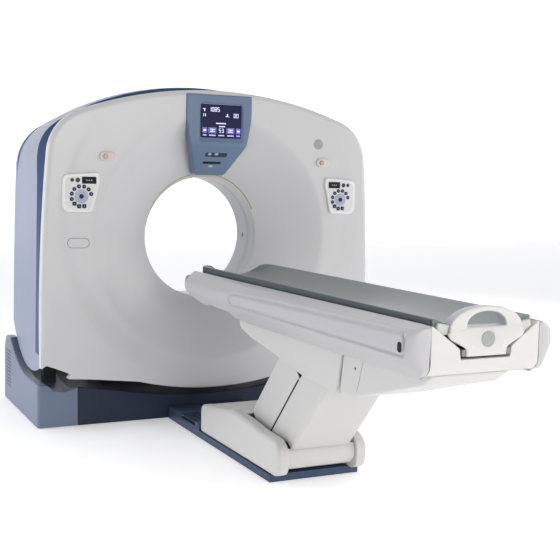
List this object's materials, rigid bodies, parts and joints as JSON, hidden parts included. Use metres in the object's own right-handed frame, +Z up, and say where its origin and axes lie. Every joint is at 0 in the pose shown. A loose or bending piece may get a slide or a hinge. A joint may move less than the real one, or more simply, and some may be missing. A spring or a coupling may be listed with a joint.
{
  "type": "CT scanner",
  "caption": "Computed tomography scanner: tilting ring gantry with a flared bore on a floor base, and a lifting patient table with a sliding cradle.",
  "frame": {"origin": "on the floor, straight below the isocentre, at the middle of the four floor anchors of the gantry base", "axes": "+Y along the bore from the patient's end into the gantry, +Z up, +X to the right seen from the table"},
  "size_m": [2.0078, 3.5125, 1.9308],
  "materials": {
    "cover_white": "satin moulded cover, off-white",
    "cover_blue": "satin moulded cover, pale blue",
    "console_blue": "satin moulded plastic, slate blue",
    "base_dark": "dark slate moulding",
    "screen": "dark display glass",
    "panel_grey": "pale membrane plate",
    "key_navy": "dark keys",
    "button_red": "red push button",
    "bezel_cream": "pale bezel",
    "cap_grey": "grey cap",
    "frame_paint": "painted welded steel",
    "steel": "ground steel",
    "alloy": "machined",
    "unit_grey": "painted housing",
    "table_white": "satin moulded cover, warm white",
    "cradle_grey": "smooth grey laminate",
    "strip_dark": "dark edge strip",
    "block_grey": "pale grey moulding",
    "rubber": "black rubber"
  },
  "bodies": {
    "base": {"base_frame": "frame_paint", "tilt_bushes": "steel", "tilt_motor": "unit_grey", "levelling_feet": "steel", "base_side_covers": "cover_blue", "base_end_covers": "base_dark", "table_frame": "frame_paint", "step_cover": "console_blue", "foot_covers": "table_white", "lower_shafts": "steel"},
    "gantry": {"tilt_frame": "frame_paint", "front_cover": "cover_white", "side_covers": "cover_blue", "top_cover": "cover_blue", "rear_cover": "cover_white", "tunnel_ring": "cover_white", "laser_ports": "screen", "display_console": "console_blue", "display_screen": "screen", "control_panels": "panel_grey", "keypads": "key_navy", "readouts": "screen", "stop_bezels": "bezel_cream", "face_caps": "cap_grey", "main_bearing": "steel", "fixed_rings": "unit_grey"},
    "rotor": {"rotor_ring": "alloy", "tube_unit": "unit_grey", "collimator": "steel", "detector_arc": "alloy", "rotor_units": "unit_grey"},
    "stop_left": {"stop_button_left": "button_red"},
    "stop_right": {"stop_button_right": "button_red"},
    "key_left": {"centre_key_left": "key_navy"},
    "key_right": {"centre_key_right": "key_navy"},
    "front_arm": {"front_arm": "frame_paint", "front_arm_cover": "table_white", "cross_cover": "table_white"},
    "rear_arm": {"rear_arm": "frame_paint", "rear_arm_cover": "table_white"},
    "table_top": {"upper_frame": "alloy", "upper_shafts": "steel", "hopper_cover": "table_white", "tail_fairing": "table_white", "side_rails": "table_white", "nose_cap": "table_white", "near_end_cover": "table_white"},
    "roller": {"far_roller": "steel"},
    "cradle": {"cradle": "cradle_grey", "cradle_strips": "strip_dark", "carriage": "alloy", "cradle_handle": "block_grey", "handle_fittings": "steel", "end_blocks": "block_grey"},
    "actuator_body": {"actuator_body": "unit_grey"},
    "actuator_rod": {"actuator_rod": "steel"},
    "pedal_1": {"pedal_1": "rubber"},
    "pedal_2": {"pedal_2": "rubber"},
    "pedal_3": {"pedal_3": "rubber"},
    "pedal_4": {"pedal_4": "rubber"}
  },
  "joints": [
    {"name": "gantry_tilt", "type": "hinge", "parent": "base", "child": "gantry", "pos_m": [0, 0, 1.043], "axis": [1, 0, 0], "range_deg": [-30, 30]},
    {"name": "rotor_spin", "type": "hinge", "parent": "gantry", "child": "rotor", "pos_m": [0, 0.1, 1.043], "axis": [0, 1, 0], "continuous": true},
    {"name": "stop_left_push", "type": "slide", "parent": "gantry", "child": "stop_left", "axis": [0, 1, 0], "range_m": [0, 0.006], "stiffness_N_per_m": 600, "springref_m": -0.003},
    {"name": "stop_right_push", "type": "slide", "parent": "gantry", "child": "stop_right", "axis": [0, 1, 0], "range_m": [0, 0.006], "stiffness_N_per_m": 600, "springref_m": -0.003},
    {"name": "centre_key_left_push", "type": "slide", "parent": "gantry", "child": "key_left", "axis": [0, 1, 0], "range_m": [0, 0.0015], "stiffness_N_per_m": 500, "springref_m": -0.002},
    {"name": "centre_key_right_push", "type": "slide", "parent": "gantry", "child": "key_right", "axis": [0, 1, 0], "range_m": [0, 0.0015], "stiffness_N_per_m": 500, "springref_m": -0.002},
    {"name": "table_lift", "type": "hinge", "parent": "base", "child": "front_arm", "pos_m": [0, -1.615, 0.122], "axis": [-1, 0, 0], "range_deg": [-42, 11]},
    {"name": "rear_arm_swing", "type": "hinge", "parent": "base", "child": "rear_arm", "pos_m": [0, -1.345, 0.197], "axis": [-1, 0, 0], "range_deg": [-42, 11]},
    {"name": "top_level", "type": "hinge", "parent": "front_arm", "child": "table_top", "pos_m": [0, -2.03227, 0.58057], "axis": [-1, 0, 0], "range_deg": [-11, 42]},
    {"name": "actuator_swing", "type": "hinge", "parent": "base", "child": "actuator_body", "pos_m": [0, -1.12, 0.07], "axis": [-1, 0, 0], "range_deg": [-6.4, 1.75]},
    {"name": "actuator_extend", "type": "slide", "parent": "actuator_body", "child": "actuator_rod", "axis": [0, -0.6564, 0.7544], "range_m": [-0.015, 0.056]},
    {"name": "cradle_slide", "type": "slide", "parent": "table_top", "child": "cradle", "axis": [0, 1, 0], "range_m": [0, 1.7]},
    {"name": "roller_spin", "type": "hinge", "parent": "table_top", "child": "roller", "pos_m": [0, -0.716, 0.8257], "axis": [1, 0, 0], "continuous": true},
    {"name": "pedal_1_press", "type": "hinge", "parent": "base", "child": "pedal_1", "pos_m": [-0.157, -0.476, 0.062], "axis": [1, 0, 0], "range_deg": [0, 2.2], "stiffness_Nm_per_rad": 30, "springref_deg": -2.86},
    {"name": "pedal_2_press", "type": "hinge", "parent": "base", "child": "pedal_2", "pos_m": [-0.205, -0.476, 0.062], "axis": [1, 0, 0], "range_deg": [0, 2.2], "stiffness_Nm_per_rad": 30, "springref_deg": -2.86},
    {"name": "pedal_3_press", "type": "hinge", "parent": "base", "child": "pedal_3", "pos_m": [0.157, -0.476, 0.062], "axis": [1, 0, 0], "range_deg": [0, 2.2], "stiffness_Nm_per_rad": 30, "springref_deg": -2.86},
    {"name": "pedal_4_press", "type": "hinge", "parent": "base", "child": "pedal_4", "pos_m": [0.205, -0.476, 0.062], "axis": [1, 0, 0], "range_deg": [0, 2.2], "stiffness_Nm_per_rad": 30, "springref_deg": -2.86}
  ],
  "couplings": [
    {"joint": "rear_arm_swing", "follows": "table_lift", "ratio": 1},
    {"joint": "top_level", "follows": "table_lift", "ratio": -1},
    {"joint": "actuator_swing", "follows": "table_lift", "ratio": 0.15},
    {"joint": "actuator_extend", "follows": "table_lift", "m_per_rad": -0.076}
  ]
}
